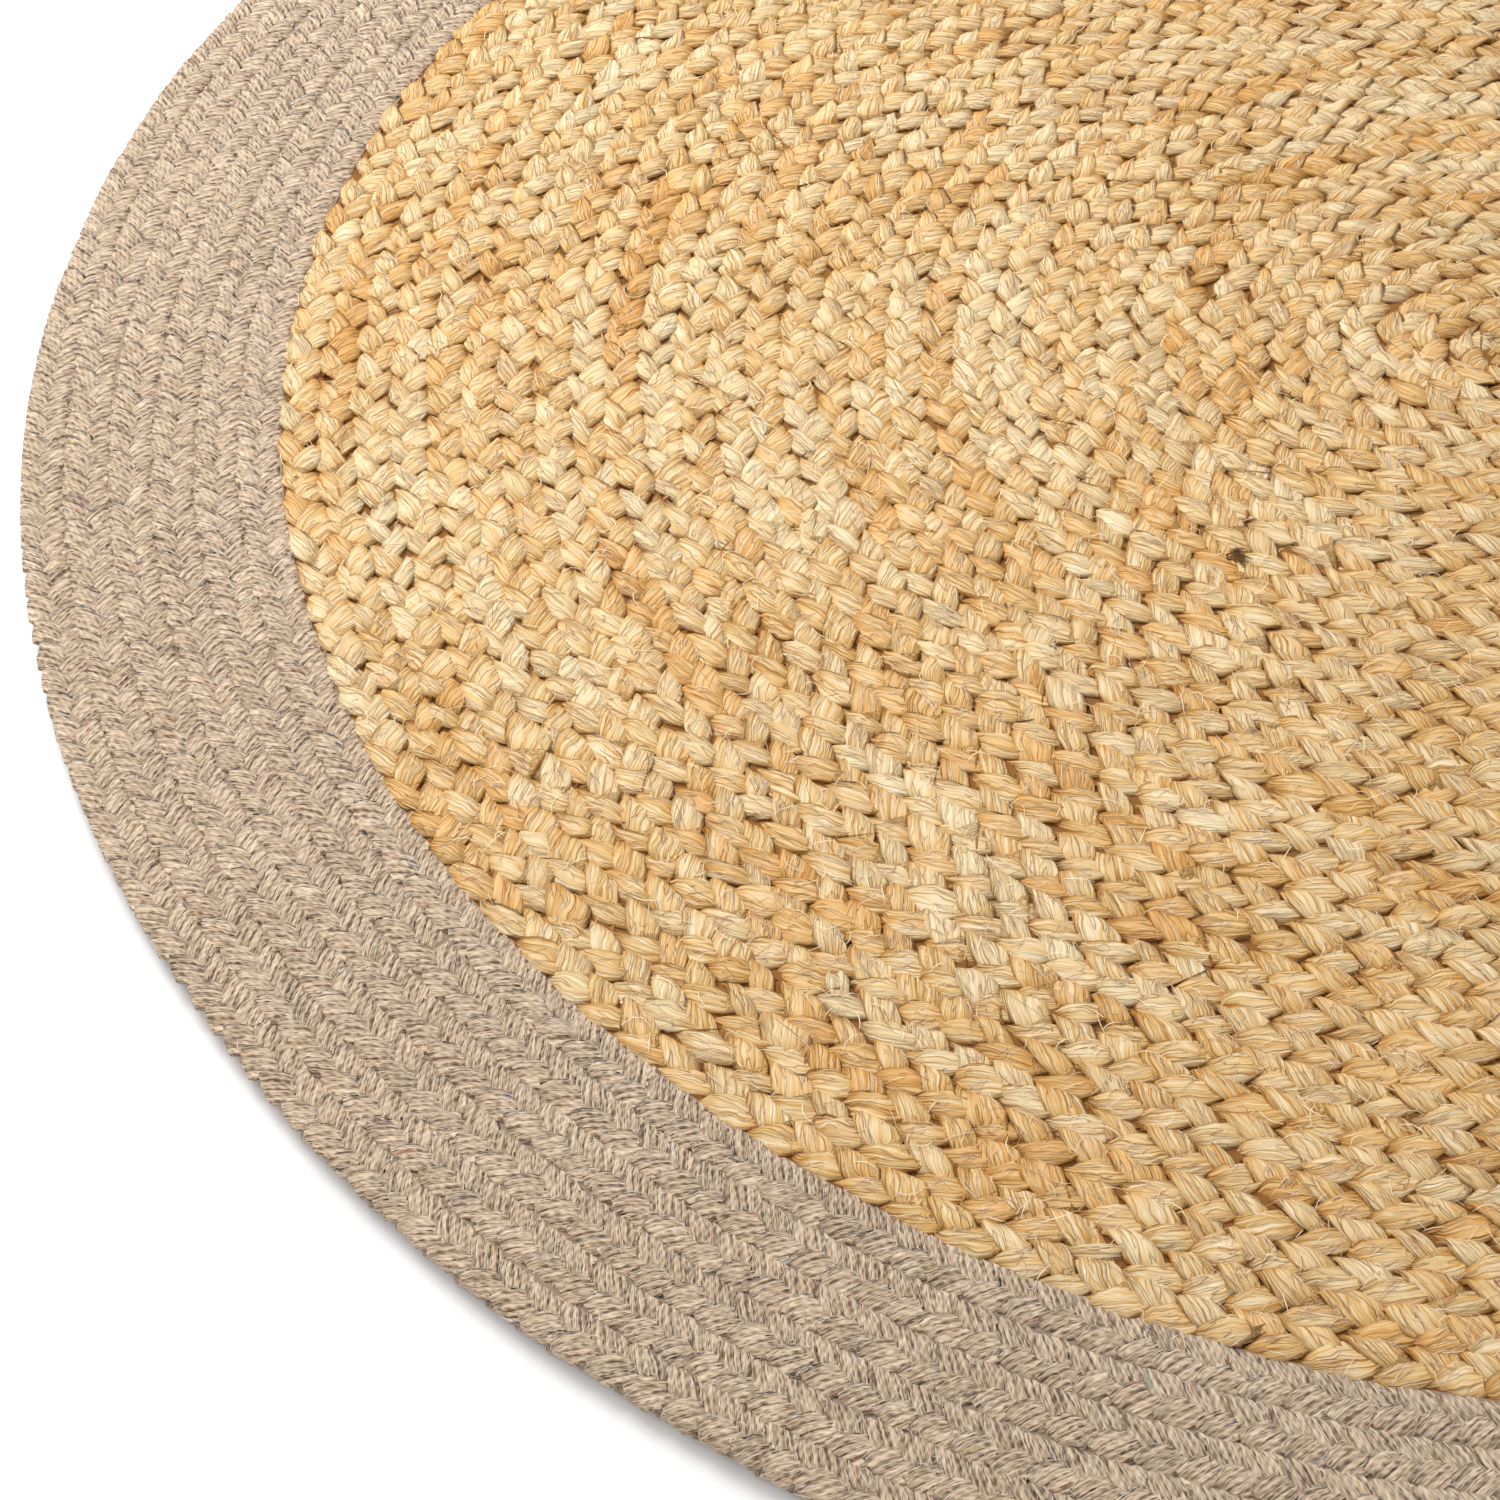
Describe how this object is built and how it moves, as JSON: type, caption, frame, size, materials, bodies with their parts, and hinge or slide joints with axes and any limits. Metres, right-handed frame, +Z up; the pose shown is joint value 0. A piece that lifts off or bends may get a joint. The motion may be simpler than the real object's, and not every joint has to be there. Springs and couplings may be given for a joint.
{
  "type": "round jute rug",
  "caption": "Round flat-braided jute rug with a wide braided cotton border, coiled and sewn edge to edge, lying flat on the floor.",
  "frame": {"origin": "middle of the rug's flat underside, on the floor", "axes": "+Z up through the rug's thickness, away from the floor; +X and +Y lie in the floor"},
  "size_m": [1.2, 1.2, 0.009],
  "materials": {
    "jute": "natural undyed jute, loosely twisted and flat-braided, dry and hairy",
    "cotton": "greige recycled cotton yarn, flat-braided, matt with a fine fuzz"
  },
  "bodies": {
    "root": {"jute_braid_field": "jute", "cotton_braid_border": "cotton"}
  },
  "joints": []
}
